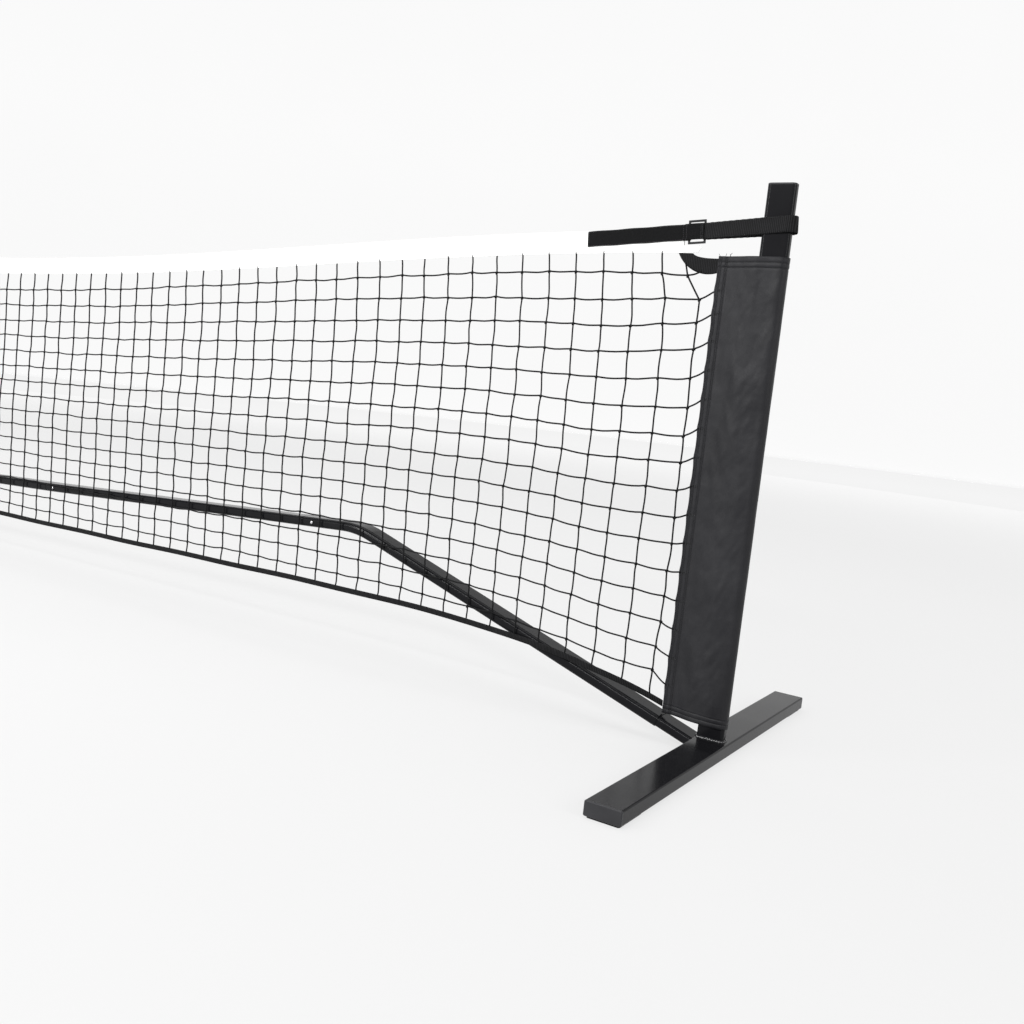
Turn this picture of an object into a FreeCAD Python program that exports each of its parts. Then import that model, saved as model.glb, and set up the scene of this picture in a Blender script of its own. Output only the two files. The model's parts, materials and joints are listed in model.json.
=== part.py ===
import FreeCAD, Part
import math
import os

# Portable pickleball net, standing open at full width.  Millimetres, +Z up.
# X runs along the net, Y across it.  Each half is drawn for the +X end and mirrored.
# "Inboard" means towards the middle of the net; run lengths are measured from the foot's centre line.
V = FreeCAD.Vector

# ---------------------------------------------------------------- driving dimensions
POST_X = 3359.0          # foot's centre line, from the middle of the net
POST_INSET = 6.0         # the post stands this far inboard of it: 22 ft between posts
FOOT_LENGTH = 892.0
FOOT_WIDTH = 64.0
FOOT_HEIGHT = 25.0
FOOT_CORNER = 3.0
FOOT_CAP = 4.0           # plastic flange on each end of the foot
WALL = 1.2
PAD_THICKNESS = 3.0
PAD_LENGTH = 80.0
PAD_WIDTH = 56.0
FOOT_TOP = PAD_THICKNESS + FOOT_HEIGHT

TUBE_WIDTH = 52.0        # flat-sided oval tube of posts and rails
TUBE_HEIGHT = 22.0
TUBE_CORNER = 8.0
FIT_GAP = 0.2            # spigot to socket, each side
SPIGOT_DROP = WALL + FIT_GAP
POST_TOP = 1023.0
CAP_FLANGE = 3.0
PLUG_DEPTH = 18.0

RAIL_RISE_DEG = 18.0     # bent rail climbs from the foot at this angle
RAIL_ROOT = (32.0, 14.0)  # inboard run and height where the stub's axis meets the foot's side
SOCKET_START = 79.0      # along the stub's axis: where the rail's lower end sits
SPIGOT_LENGTH = 60.0
NECK = 3.0               # coned neck between a tube and its swaged end
BEND_RUN = 866.0         # bend apex
BEND_RADIUS = 220.0
FIRST_JOINT_RUN = 1021.0
STRAIGHT_COUNT = 5
FALL_DEG = (3.1, 3.1, 2.6, 0.0)  # fall towards the middle: rail end, then each straight

BUTTON_RADIUS = 3.5
BUTTON_HOLE = 3.8
BUTTON_PROUD = 3.0
BUTTON_TRAVEL = 4.5
BUTTON_FROM_SHOULDER = 30.0
SHOULDER_RADIUS = 4.4
SHOULDER_OUT = 20.6      # shoulder's outer face, from the tube's axis
LEAF_OUT = 19.8
LEAF_IN = 19.0
LEAF_WIDTH = 7.0
LEAF_LENGTH = 34.0

SLEEVE_TOP = 899.0
SLEEVE_BOTTOM = 52.0
SLEEVE_WALL = 1.2
SLEEVE_OUTBOARD = 22.5
SLEEVE_SEAM = 108.0       # inboard run of the seam's outer edge
SLEEVE_HALF = 13.5
SEAM_HALF = 1.6
SEAM_WIDTH = 20.0

TAPE_MID_TOP = 834.0     # top of the net at mid-court
TAPE_RISE = 113.0
TAPE_POWER = 2.2
TAPE_HEIGHT = 42.0
TAPE_HALF = 1.3
TAPE_END_RUN = 178.0
TAPE_TOE_RUN = 143.0
CORE_HALF = 0.8
CORE_TOP = 6.0
CORE_HEIGHT = 25.0

HEM_MID = 117.5
HEM_RISE = 60.0
HEM_PULL = 105.0
HEM_PULL_RUN = 250.0
HEM_HEIGHT = 12.0
HEM_HALF = 1.2

NET_HALF = 0.4
NET_FRONT = 31.0         # how far the lower net hangs in front of the rail's axis
NET_KNEE = 420.0         # the net hangs straight down below this height
NET_LEAN_TOP = 812.0
NET_SPREAD_RUN = 260.0   # the net reaches NET_FRONT at this run from the post
NET_STATIONS = (108.3, 120.0, 135.0, 150.0, 162.0, 172.0, 180.0, 186.0, 189.5, 205.0, 230.0,
                260.0, 330.0, 450.0, 600.0, 800.0, 1100.0, 1500.0, 2000.0, 2600.0)

TAB_HUB = (126.6, 933.8)  # run and height of the corner tab's lower curve centre
TAB_RADIUS = 67.4
TAB_TOP = 895.0          # where the tab's inner curve meets the sleeve
TAB_HALF = 0.6

STRAP_TILT_DEG = 4.57
STRAP_Z = 954.0          # strap's middle height at the post
STRAP_WIDTH = 29.0
STRAP_THICK = 1.6
RING_OUTER_RUN = 173.0
RING_INNER_RUN = 139.0
RING_BAR = 4.0
RING_HALF = 1.3
RING_HEIGHT = 43.0
WRAP_IN = 2.3            # post loop round the ring's outboard bar
BASE_IN = 2.45           # strap round the ring's inboard bar
LOOP_CENTRE = -13.0      # run of the post loop's outboard bend
LOOP_IN = 14.5
FLAP_START = 141.0       # the strap's sewn flap covers the ring from here
FLAP_THICK = 1.4
TAIL_START = 178.0
TAIL_END = 378.0
BASE_END = 220.0


# ---------------------------------------------------------------- small helpers
def save(name, shape):
    """Write one piece as its own STEP file."""
    if not shape.isValid():
        print("INVALID", name)
    shape.exportStep("parts/" + name + ".step")


def mirrored(shape):
    return shape.mirror(V(0, 0, 0), V(1, 0, 0))


def save_pair(name, shape):
    """Write the +X end's piece and its mirror image at the -X end."""
    save("right_" + name, shape)
    save("left_" + name, mirrored(shape))


def tube_wire(width, height, corner, centre, across, up):
    """Rounded rectangle: width along across, height along up."""
    a, b = width / 2 - corner, height / 2 - corner
    k = corner * math.sqrt(0.5)

    def at(s, t):
        return centre + across * s + up * t

    edges = []
    for ss, tt in ((1, 1), (-1, 1), (-1, -1), (1, -1)):
        start = at(ss * (a + corner), tt * b)
        middle = at(ss * (a + k), tt * (b + k))
        end = at(ss * a, tt * (b + corner))
        if ss * tt < 0:
            start, end = end, start
        edges.append(Part.Arc(start, middle, end).toShape())
    joined = []
    for i, edge in enumerate(edges):
        joined.append(edge)
        here = edge.Vertexes[-1].Point
        there = edges[(i + 1) % 4].Vertexes[0].Point
        if here.distanceToPoint(there) > 0.001:
            joined.append(Part.LineSegment(here, there).toShape())
    return Part.Wire(Part.__sortEdges__(joined))


def oval_wire(drop, centre, direction):
    """Section of the oval tube, shrunk by drop all round; its wide way is across the net."""
    across = V(0, 1, 0)
    up = direction.cross(across)
    return tube_wire(TUBE_WIDTH - 2 * drop, TUBE_HEIGHT - 2 * drop, TUBE_CORNER - drop,
                     centre, across, up)


def oval_bar(drop, start, end):
    direction = (end - start).normalize()
    return Part.Face(oval_wire(drop, start, direction)).extrude(end - start)


def cone_bar(drop_a, start, direction_a, drop_b, end, direction_b):
    """Solid that necks from one oval section to another."""
    wires = [oval_wire(drop_a, start, direction_a), oval_wire(drop_b, end, direction_b)]
    return Part.makeLoft(wires, True, True)


def ruled(sections):
    """Ruled solid through closed sections, each given as (x, [(y, z), ...])."""
    wires = []
    for x, loop in sections:
        corners = [V(x, y, z) for y, z in loop]
        wires.append(Part.makePolygon(corners + corners[:1]))
    return Part.makeLoft(wires, True, True)


def direction_at(fall_deg):
    """Unit vector inboard along a run that falls by fall_deg."""
    a = math.radians(fall_deg)
    return V(-math.cos(a), 0, -math.sin(a))


# ---------------------------------------------------------------- rail line of the +X half
RISE_DIR = direction_at(-RAIL_RISE_DEG)
ROOT = V(POST_X - RAIL_ROOT[0], 0, RAIL_ROOT[1])
RAIL_LOW = ROOT + RISE_DIR * SOCKET_START
APEX = ROOT + RISE_DIR * ((BEND_RUN - RAIL_ROOT[0]) / math.cos(math.radians(RAIL_RISE_DEG)))
STRAIGHT_PITCH = 2 * (POST_X - FIRST_JOINT_RUN) / STRAIGHT_COUNT


def joint_points():
    """Rail joints from the bent rail's inner end to the middle straight's outer end."""
    points = []
    here = APEX
    run = FIRST_JOINT_RUN - BEND_RUN
    for fall in FALL_DEG[:-1]:
        step = direction_at(fall)
        here = here + step * (run / abs(step.x))
        points.append(here)
        run = STRAIGHT_PITCH
    return points


JOINTS = joint_points()


def button_hole(joint, outboard, side=-1, reach=26.0):
    """Cutter through one narrow side of a socket and its spigot, button-sized."""
    centre = joint + outboard * BUTTON_FROM_SHOULDER
    return Part.makeCylinder(BUTTON_HOLE, reach, centre, V(0, side, 0))


# ---------------------------------------------------------------- end frame
def foot_tube():
    start = V(POST_X, -FOOT_LENGTH / 2, PAD_THICKNESS + FOOT_HEIGHT / 2)
    run = V(0, FOOT_LENGTH, 0)
    outer = tube_wire(FOOT_WIDTH, FOOT_HEIGHT, FOOT_CORNER, start, V(1, 0, 0), V(0, 0, 1))
    inner = tube_wire(FOOT_WIDTH - 2 * WALL, FOOT_HEIGHT - 2 * WALL, FOOT_CORNER - WALL,
                      start, V(1, 0, 0), V(0, 0, 1))
    return Part.Face(outer).extrude(run).cut(Part.Face(inner).extrude(run))


def foot_cap(side):
    """End plug of the foot: a rounded flange outside and a stem inside."""
    centre = V(POST_X, side * FOOT_LENGTH / 2, PAD_THICKNESS + FOOT_HEIGHT / 2)
    outer = tube_wire(FOOT_WIDTH, FOOT_HEIGHT, FOOT_CORNER, centre, V(1, 0, 0), V(0, 0, 1))
    flange = Part.Face(outer).extrude(V(0, side * FOOT_CAP, 0))
    rim = [e for e in flange.Edges
           if all(abs(abs(v.Point.y) - FOOT_LENGTH / 2 - FOOT_CAP) < 0.01 for v in e.Vertexes)]
    flange = flange.makeFillet(2.0, rim)
    inset = 2 * (WALL + FIT_GAP)
    stem = tube_wire(FOOT_WIDTH - inset, FOOT_HEIGHT - inset, 1.2, centre, V(1, 0, 0), V(0, 0, 1))
    return flange.fuse(Part.Face(stem).extrude(V(0, -side * PLUG_DEPTH, 0))).removeSplitter()


def foot_pad(side):
    near = FOOT_LENGTH / 2 - PAD_LENGTH
    low_y = near if side > 0 else -FOOT_LENGTH / 2
    pad = Part.makeBox(PAD_WIDTH, PAD_LENGTH, PAD_THICKNESS, V(POST_X - PAD_WIDTH / 2, low_y, 0))
    upright = [e for e in pad.Edges if abs(e.Vertexes[0].Z - e.Vertexes[1].Z) > 1]
    return pad.makeFillet(4.0, upright)


def post_section(drop, z):
    return tube_wire(TUBE_WIDTH - 2 * drop, TUBE_HEIGHT - 2 * drop, TUBE_CORNER - drop,
                     V(POST_X - POST_INSET, 0, z), V(1, 0, 0), V(0, 1, 0))


def post_bar(drop, low, high):
    return Part.Face(post_section(drop, low)).extrude(V(0, 0, high - low))


def post_tube():
    return post_bar(0, FOOT_TOP, POST_TOP).cut(post_bar(WALL, FOOT_TOP, POST_TOP))


def post_cap():
    flange = post_bar(0, POST_TOP, POST_TOP + CAP_FLANGE)
    rim = [e for e in flange.Edges if all(v.Z > POST_TOP + CAP_FLANGE - 0.01 for v in e.Vertexes)]
    flange = flange.makeFillet(1.2, rim)
    return flange.fuse(post_bar(SPIGOT_DROP, POST_TOP - PLUG_DEPTH, POST_TOP)).removeSplitter()


def foot_block():
    """The foot as a solid bar near the post; the stub is cut off square to its side."""
    return Part.makeBox(2 * FOOT_WIDTH, 120, FOOT_TOP + 40, V(POST_X - FOOT_WIDTH / 2, -60, -40))


def rail_stub():
    """Spigot welded to the foot's inboard side; the bent rail slides over it."""
    start = ROOT - RISE_DIR * 14
    end = RAIL_LOW + RISE_DIR * (SPIGOT_LENGTH + 8)
    shell = oval_bar(SPIGOT_DROP, start, end).cut(oval_bar(SPIGOT_DROP + WALL, start, end))
    return shell.cut([foot_block(), button_hole(RAIL_LOW, RISE_DIR, side=1)])


def weld_beads():
    """Fillet welds: post to the foot's top, and stub to the foot's side."""
    leg = 3.5
    post_bead = Part.makeLoft([post_section(-leg, FOOT_TOP), post_section(-0.4, FOOT_TOP + leg)],
                              True, True)
    start = ROOT - RISE_DIR * 14
    side_x = POST_X - FOOT_WIDTH / 2
    wide = Part.Face(oval_wire(SPIGOT_DROP - leg, ROOT, RISE_DIR)).extrude(RISE_DIR * 12)
    slab = Part.makeBox(leg, 80, FOOT_HEIGHT - 1, V(side_x - leg, -40, PAD_THICKNESS - 2))
    stub_bead = wide.fuse(wide.translated(-RISE_DIR * 6)).common(slab)
    stub_solid = oval_bar(SPIGOT_DROP, start, RAIL_LOW)
    post_bead = post_bead.cut(post_bar(0, FOOT_TOP, FOOT_TOP + 20))
    return Part.makeCompound([post_bead, stub_bead.cut(stub_solid)])


# ---------------------------------------------------------------- rails
def bent_rail():
    """Socket at the foot, one smooth bend, then a gentle fall to the first joint."""
    fall_dir = direction_at(FALL_DEG[0])
    turn = math.radians(RAIL_RISE_DEG + FALL_DEG[0])
    trim = BEND_RADIUS * math.tan(turn / 2)
    bend_in = APEX - RISE_DIR * trim
    bend_out = APEX + fall_dir * trim
    centre = bend_in + V(RISE_DIR.z, 0, -RISE_DIR.x) * -BEND_RADIUS
    if centre.z > bend_in.z:
        centre = bend_in + V(RISE_DIR.z, 0, -RISE_DIR.x) * BEND_RADIUS

    def run(drop):
        legs = [oval_bar(drop, RAIL_LOW, bend_in), oval_bar(drop, bend_out, JOINTS[0])]
        face = Part.Face(oval_wire(drop, bend_in, RISE_DIR))
        bend = face.revolve(centre, V(0, -1, 0), math.degrees(turn))
        return legs[0].fuse([bend, legs[1]])

    rail = run(0).cut(run(WALL))
    holes = [button_hole(RAIL_LOW, RISE_DIR, side=1), button_hole(JOINTS[0], -fall_dir)]
    return rail.cut(holes).removeSplitter()


def swaged_end(joint, own_dir, next_dir):
    """Outer and inner solids of the neck and spigot that point outboard from a joint."""
    shoulder = joint + own_dir * NECK
    tip = joint - next_dir * SPIGOT_LENGTH
    solids = []
    for drop in (0, WALL):
        neck = cone_bar(drop, shoulder, own_dir, SPIGOT_DROP + drop, joint, next_dir)
        solids.append(neck.fuse(oval_bar(SPIGOT_DROP + drop, joint, tip)))
    return solids


def straight_rail(index):
    """Straight section from joint index to joint index + 1, swaged at its outboard end."""
    own_dir = direction_at(FALL_DEG[index + 1])
    next_dir = direction_at(FALL_DEG[index])
    start, end = JOINTS[index], JOINTS[index + 1]
    swage_out, swage_in = swaged_end(start, own_dir, next_dir)
    outer = oval_bar(0, start + own_dir * NECK, end).fuse(swage_out)
    inner = oval_bar(WALL, start + own_dir * NECK, end).fuse(swage_in)
    return outer.cut(inner).cut([button_hole(start, -next_dir), button_hole(end, -own_dir)])


def middle_rail():
    """Level section across the middle, swaged at both ends."""
    own_dir = direction_at(FALL_DEG[-1])
    next_dir = direction_at(FALL_DEG[-2])
    start = JOINTS[-1]
    half_end = V(0, 0, start.z)
    swage_out, swage_in = swaged_end(start, own_dir, next_dir)
    outer = oval_bar(0, start + own_dir * NECK, half_end).fuse(swage_out)
    inner = oval_bar(WALL, start + own_dir * NECK, half_end).fuse(swage_in)
    outer = outer.fuse(mirrored(outer))
    inner = inner.fuse(mirrored(inner))
    hole = button_hole(start, -next_dir)
    return outer.cut(inner).cut([hole, mirrored(hole)]).removeSplitter()


# ---------------------------------------------------------------- snap buttons
def button_places():
    """(name, centre on the tube's axis, outboard direction, side) for the +X half."""
    places = [("foot_joint", RAIL_LOW + RISE_DIR * BUTTON_FROM_SHOULDER, RISE_DIR, 1)]
    for i, joint in enumerate(JOINTS):
        outboard = -direction_at(FALL_DEG[i])
        places.append(("rail_joint_" + str(i + 1), joint + outboard * BUTTON_FROM_SHOULDER,
                       outboard, -1))
    return places


def snap_button(centre, along, side):
    """Domed button with a shoulder, riveted to the free leaf of its spring clip."""
    out = V(0, side, 0)
    tip = TUBE_WIDTH / 2 + BUTTON_PROUD
    head = Part.makeCylinder(BUTTON_RADIUS, tip - SHOULDER_OUT, centre + out * SHOULDER_OUT, out)
    rim = [e for e in head.Edges if abs(e.BoundBox.YMin - e.BoundBox.YMax) < 0.01
           and abs(abs(e.BoundBox.YMin) - tip) < 0.01]
    head = head.makeFillet(1.6, rim)
    shoulder = Part.makeCylinder(SHOULDER_RADIUS, SHOULDER_OUT - LEAF_OUT,
                                 centre + out * LEAF_OUT, out)
    leaf = leaf_plate(centre, along, side, LEAF_IN, LEAF_OUT, -LEAF_LENGTH / 2, LEAF_LENGTH / 2)
    return head.fuse([shoulder, leaf]).removeSplitter()


def leaf_plate(centre, along, side, low, high, back, front):
    """Flat strip of a spring clip, between two distances from the tube's axis."""
    up = along.cross(V(0, 1, 0))
    corners = []
    for s, t in ((back, -1), (front, -1), (front, 1), (back, 1)):
        corners.append(centre + along * s + up * (t * LEAF_WIDTH / 2) + V(0, side * low, 0))
    face = Part.Face(Part.makePolygon(corners + corners[:1]))
    return face.extrude(V(0, side * (high - low), 0))


def spring_clip(centre, along, side):
    """Fixed leaf and bend of the clip inside the spigot."""
    bend_at = LEAF_LENGTH / 2 + 0.4
    fixed = leaf_plate(centre, along, side, -LEAF_OUT, -LEAF_IN, -LEAF_LENGTH / 2, bend_at)
    up = along.cross(V(0, 1, 0))
    hub = centre + along * bend_at
    start = hub + V(0, side * LEAF_IN, 0)
    corners = [start - up * (LEAF_WIDTH / 2), start + up * (LEAF_WIDTH / 2)]
    thick = V(0, side * (LEAF_OUT - LEAF_IN), 0)
    corners = corners + [corners[1] + thick, corners[0] + thick]
    face = Part.Face(Part.makePolygon(corners + corners[:1]))
    turn = 180 if (V(0, side, 0).cross(along)).dot(up) > 0 else -180
    bend = face.revolve(hub, up, turn)
    return fixed.fuse(bend).removeSplitter()


def all_clips():
    clips = []
    for name, centre, along, side in button_places():
        clip = spring_clip(centre, along, side)
        clips += [clip, mirrored(clip)]
    return Part.makeCompound(clips)


# ---------------------------------------------------------------- soft goods
def tape_top(run):
    """Height of the tape's top edge at a run from the post."""
    out = (POST_X - run) / POST_X
    return TAPE_MID_TOP + TAPE_RISE * ((1 - math.cos(math.pi * out)) / 2) ** TAPE_POWER


def hem_middle(run):
    """Height of the hem's centre line at a run from the post."""
    out = (POST_X - run) / POST_X
    pull = HEM_PULL * math.exp(-(run - SLEEVE_SEAM) / HEM_PULL_RUN)
    return HEM_MID + HEM_RISE * out ** 2 - pull


def net_front(run, z):
    """How far in front of the posts' plane the net hangs."""
    spread = min(1.0, max(0.0, (run - SLEEVE_SEAM) / (NET_SPREAD_RUN - SLEEVE_SEAM)))
    lean = min(1.0, max(0.0, (NET_LEAN_TOP - z) / (NET_LEAN_TOP - NET_KNEE)))
    return -NET_FRONT * spread * lean


def both_halves(first_run, section):
    """Ruled solid across the whole net: section(run) at each station from end to end."""
    runs = [first_run] + [r for r in NET_STATIONS if r > first_run + 5]
    stations = [(POST_X - r, section(r)) for r in runs]
    stations.append((0.0, section(POST_X)))
    stations += [(r - POST_X, section(r)) for r in reversed(runs)]
    return ruled(stations)


def tab_toe_run():
    """Run at which the tab's lower curve reaches the tape's lower edge."""
    drop = TAB_HUB[1] - (tape_top(TAPE_END_RUN) - TAPE_HEIGHT - 0.3)
    return TAB_HUB[0] + math.sqrt(TAB_RADIUS ** 2 - drop ** 2)


def net_top(run):
    """Upper edge of the mesh: under the corner tab near the sleeve, then under the tape."""
    if run < tab_toe_run():
        return TAB_HUB[1] - math.sqrt(TAB_RADIUS ** 2 - (run - TAB_HUB[0]) ** 2) - 1.5
    return tape_top(run) - TAPE_HEIGHT - 0.3


def net_section(run):
    low = hem_middle(run) + HEM_HEIGHT / 2 + 0.3
    heights = (net_top(run), (NET_KNEE + net_top(run)) / 2, NET_KNEE, low)
    front = [(net_front(run, z) - NET_HALF, z) for z in heights]
    back = [(net_front(run, z) + NET_HALF, z) for z in reversed(heights)]
    return front + back


def hem_section(run):
    z = hem_middle(run)
    y = net_front(run, z)
    half = HEM_HEIGHT / 2
    return [(y - HEM_HALF, z + half), (y - HEM_HALF, z - half),
            (y + HEM_HALF, z - half), (y + HEM_HALF, z + half)]


def band_section(run, top_drop, height, half):
    top = tape_top(run) - top_drop
    return [(-half, top), (-half, top - height), (half, top - height), (half, top)]


def tape_toe():
    """Lower corner of the tape that reaches on under the ring."""
    low = tape_top(TAPE_END_RUN) - TAPE_HEIGHT
    corners = [(TAPE_END_RUN + 2, low), (TAPE_TOE_RUN + 7, low + 1.0), (TAPE_TOE_RUN, 916.5),
               (TAPE_END_RUN + 2, 916.5)]
    points = [V(POST_X - run, -TAPE_HALF, z) for run, z in corners]
    return Part.Face(Part.makePolygon(points + points[:1])).extrude(V(0, 2 * TAPE_HALF, 0))


def top_tape():
    """White binding folded over the core webbing, one band from end to end."""
    band = both_halves(TAPE_END_RUN, lambda r: band_section(r, 0, TAPE_HEIGHT, TAPE_HALF))
    toe = tape_toe()
    band = band.fuse([toe, mirrored(toe)])
    pocket = both_halves(TAPE_END_RUN, lambda r: band_section(r, CORE_TOP, CORE_HEIGHT, CORE_HALF))
    return band.cut(pocket).removeSplitter()


def tape_core():
    """Load-bearing webbing sewn inside the tape."""
    return both_halves(TAPE_END_RUN, lambda r: band_section(r, CORE_TOP, CORE_HEIGHT, CORE_HALF))


def sleeve_outline(shrink):
    """XY outline of the pocket: round at the post, drawn together to a flat seam."""
    r = SLEEVE_HALF - shrink
    hub = POST_X + SLEEVE_OUTBOARD - SLEEVE_HALF
    gather = POST_X - SLEEVE_SEAM + SEAM_WIDTH + shrink * 4
    seam = max(0.3, SEAM_HALF - shrink)
    arc = Part.Arc(V(hub, -r, 0), V(hub + r, 0, 0), V(hub, r, 0)).toShape()
    points = [V(hub, r, 0), V(POST_X - 30, r, 0), V(gather, seam, 0)]
    if shrink == 0:
        points += [V(POST_X - SLEEVE_SEAM, seam, 0), V(POST_X - SLEEVE_SEAM, -seam, 0)]
    points += [V(gather, -seam, 0), V(POST_X - 30, -r, 0), V(hub, -r, 0)]
    return Part.Wire([arc] + Part.makePolygon(points).Edges)


def sleeve():
    """Pocket sewn to the end of the mesh; it slips down over the post."""
    run = V(0, 0, SLEEVE_TOP - SLEEVE_BOTTOM)
    outer = Part.Face(sleeve_outline(0)).extrude(run)
    inner = Part.Face(sleeve_outline(SLEEVE_WALL)).extrude(run)
    return outer.cut(inner).translated(V(0, 0, SLEEVE_BOTTOM))


def corner_tab():
    """Curved gusset from the tape's lower corner to the sleeve's top inner corner."""
    top = tape_top(TAPE_END_RUN) - TAPE_HEIGHT - 0.3

    def at(run, z):
        return V(POST_X - run, -TAB_HALF, z)

    def lower(run):
        return at(run, TAB_HUB[1] - math.sqrt(TAB_RADIUS ** 2 - (run - TAB_HUB[0]) ** 2))

    seam = at(SLEEVE_SEAM + 0.3, TAB_TOP)
    toe = at(tab_toe_run(), top)
    inner = Part.Arc(at(158.0, top), at(148.0, TAB_TOP + 3.0), seam).toShape()
    outer = Part.Arc(lower(SLEEVE_SEAM + 0.3), lower(160.0), toe).toShape()
    edges = [inner, Part.LineSegment(seam, lower(SLEEVE_SEAM + 0.3)).toShape(), outer,
             Part.LineSegment(toe, at(158.0, top)).toShape()]
    return Part.Face(Part.Wire(Part.__sortEdges__(edges))).extrude(V(0, 2 * TAB_HALF, 0))


# ---------------------------------------------------------------- strap end (drawn level, then tilted)
def tilted(shape):
    pivot = V(POST_X, 0, STRAP_Z)
    return shape.rotated(pivot, V(0, 1, 0), -STRAP_TILT_DEG)


def belt(hub_a, radius_a, hub_b, radius_b):
    """Face bounded by two arcs and their outer tangents, hubs on the net's centre line."""
    low = STRAP_Z - STRAP_WIDTH / 2
    gap = hub_a - hub_b
    lean = math.asin((radius_a - radius_b) / gap)
    c, s = math.cos(lean), math.sin(lean)

    def rim(hub, radius, side):
        return V(hub + radius * s, side * radius * c, low)

    big = Part.Arc(rim(hub_a, radius_a, -1), V(hub_a + radius_a, 0, low),
                   rim(hub_a, radius_a, 1)).toShape()
    small = Part.Arc(rim(hub_b, radius_b, 1), V(hub_b - radius_b, 0, low),
                     rim(hub_b, radius_b, -1)).toShape()
    top = Part.LineSegment(rim(hub_a, radius_a, 1), rim(hub_b, radius_b, 1)).toShape()
    bottom = Part.LineSegment(rim(hub_b, radius_b, -1), rim(hub_a, radius_a, -1)).toShape()
    return Part.Face(Part.Wire([big, top, small, bottom]))


def post_loop():
    """Webbing that goes round the post and through the ring."""
    hub_post = POST_X - LOOP_CENTRE
    hub_ring = POST_X - RING_INNER_RUN - RING_BAR / 2
    outer = belt(hub_post, LOOP_IN + STRAP_THICK, hub_ring, WRAP_IN + STRAP_THICK)
    inner = belt(hub_post, LOOP_IN, hub_ring, WRAP_IN)
    return tilted(outer.cut(inner).extrude(V(0, 0, STRAP_WIDTH)))


def strap_ring():
    """Rectangular loop that joins the post loop to the hook-and-loop strap."""
    width = RING_OUTER_RUN - RING_INNER_RUN
    x = POST_X - RING_OUTER_RUN
    z = STRAP_Z - RING_HEIGHT / 2
    ring = Part.makeBox(width, 2 * RING_HALF, RING_HEIGHT, V(x, -RING_HALF, z))
    hole = Part.makeBox(width - 2 * RING_BAR, 4 * RING_HALF, RING_HEIGHT - 2 * RING_BAR,
                        V(x + RING_BAR, -2 * RING_HALF, z + RING_BAR))
    ring = ring.cut(hole)
    return tilted(ring.makeFillet(0.8, ring.Edges))


def strap_base():
    """Strap from the tape's back, round the ring's inboard bar, with a flap over the ring."""
    hub = POST_X - RING_OUTER_RUN + RING_BAR / 2
    low = STRAP_Z - STRAP_WIDTH / 2
    far = BASE_IN + STRAP_THICK
    x_back = POST_X - BASE_END
    x_front = POST_X - TAIL_START + 0.5

    def line(xa, ya, xb, yb):
        return Part.LineSegment(V(xa, ya, low), V(xb, yb, low)).toShape()

    edges = [line(x_back, far, hub, far),
             Part.Arc(V(hub, far, low), V(hub + far, 0, low), V(hub, -far, low)).toShape(),
             line(hub, -far, x_front, -far), line(x_front, -far, x_front, -BASE_IN),
             line(x_front, -BASE_IN, hub, -BASE_IN),
             Part.Arc(V(hub, -BASE_IN, low), V(hub + BASE_IN, 0, low),
                      V(hub, BASE_IN, low)).toShape(),
             line(hub, BASE_IN, x_back, BASE_IN), line(x_back, BASE_IN, x_back, far)]
    strap = tilted(Part.Face(Part.Wire(edges)).extrude(V(0, 0, STRAP_WIDTH)))
    flap = strap_plate(FLAP_START, TAIL_START - 0.5, -far - FLAP_THICK, -far, STRAP_WIDTH)
    return strap.fuse(flap).removeSplitter()


def strap_plate(run_a, run_b, y_front, y_back, width):
    return tilted(Part.makeBox(run_b - run_a, y_back - y_front, width,
                               V(POST_X - run_b, y_front, STRAP_Z - width / 2)))


def strap_tail():
    """Free end of the strap, pressed flat on the hook patch."""
    return strap_plate(TAIL_START, TAIL_END, -BASE_IN - STRAP_THICK, -BASE_IN, STRAP_WIDTH)


def hook_patch():
    """Hook half of the fastener, sewn on the front of the tape."""
    return strap_plate(TAIL_START + 46, TAIL_END - 4, -TAPE_HALF - 0.7, -TAPE_HALF,
                       STRAP_WIDTH - 9)


# ---------------------------------------------------------------- everything, one file per piece
def main():
    os.makedirs("parts", exist_ok=True)
    save_pair("foot_tube", foot_tube())
    save_pair("foot_cap_front", foot_cap(-1))
    save_pair("foot_cap_back", foot_cap(1))
    save_pair("foot_pad_front", foot_pad(-1))
    save_pair("foot_pad_back", foot_pad(1))
    save_pair("post_tube", post_tube())
    save_pair("post_cap", post_cap())
    save_pair("rail_stub", rail_stub())
    save_pair("weld_beads", weld_beads())
    save_pair("rail_bent", bent_rail())
    for i in range(len(JOINTS) - 1):
        save_pair("rail_straight_" + str(i + 1), straight_rail(i))
    save("rail_straight_middle", middle_rail())
    for name, centre, along, side in button_places():
        save_pair("button_" + name, snap_button(centre, along, side))
    save("snap_spring_clips", all_clips())
    save("net_mesh", both_halves(NET_STATIONS[0], net_section))
    save("bottom_hem", both_halves(NET_STATIONS[0], hem_section))
    save("top_tape", top_tape())
    save("tape_core_webbing", tape_core())
    save_pair("sleeve", sleeve())
    save_pair("corner_tab", corner_tab())
    save_pair("post_loop", post_loop())
    save_pair("strap_ring", strap_ring())
    save_pair("strap_base", strap_base())
    save_pair("strap_tail", strap_tail())
    save_pair("hook_patch", hook_patch())


main()
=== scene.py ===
import json
import math
import random

import bpy
from mathutils import Matrix, Vector, noise


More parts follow.
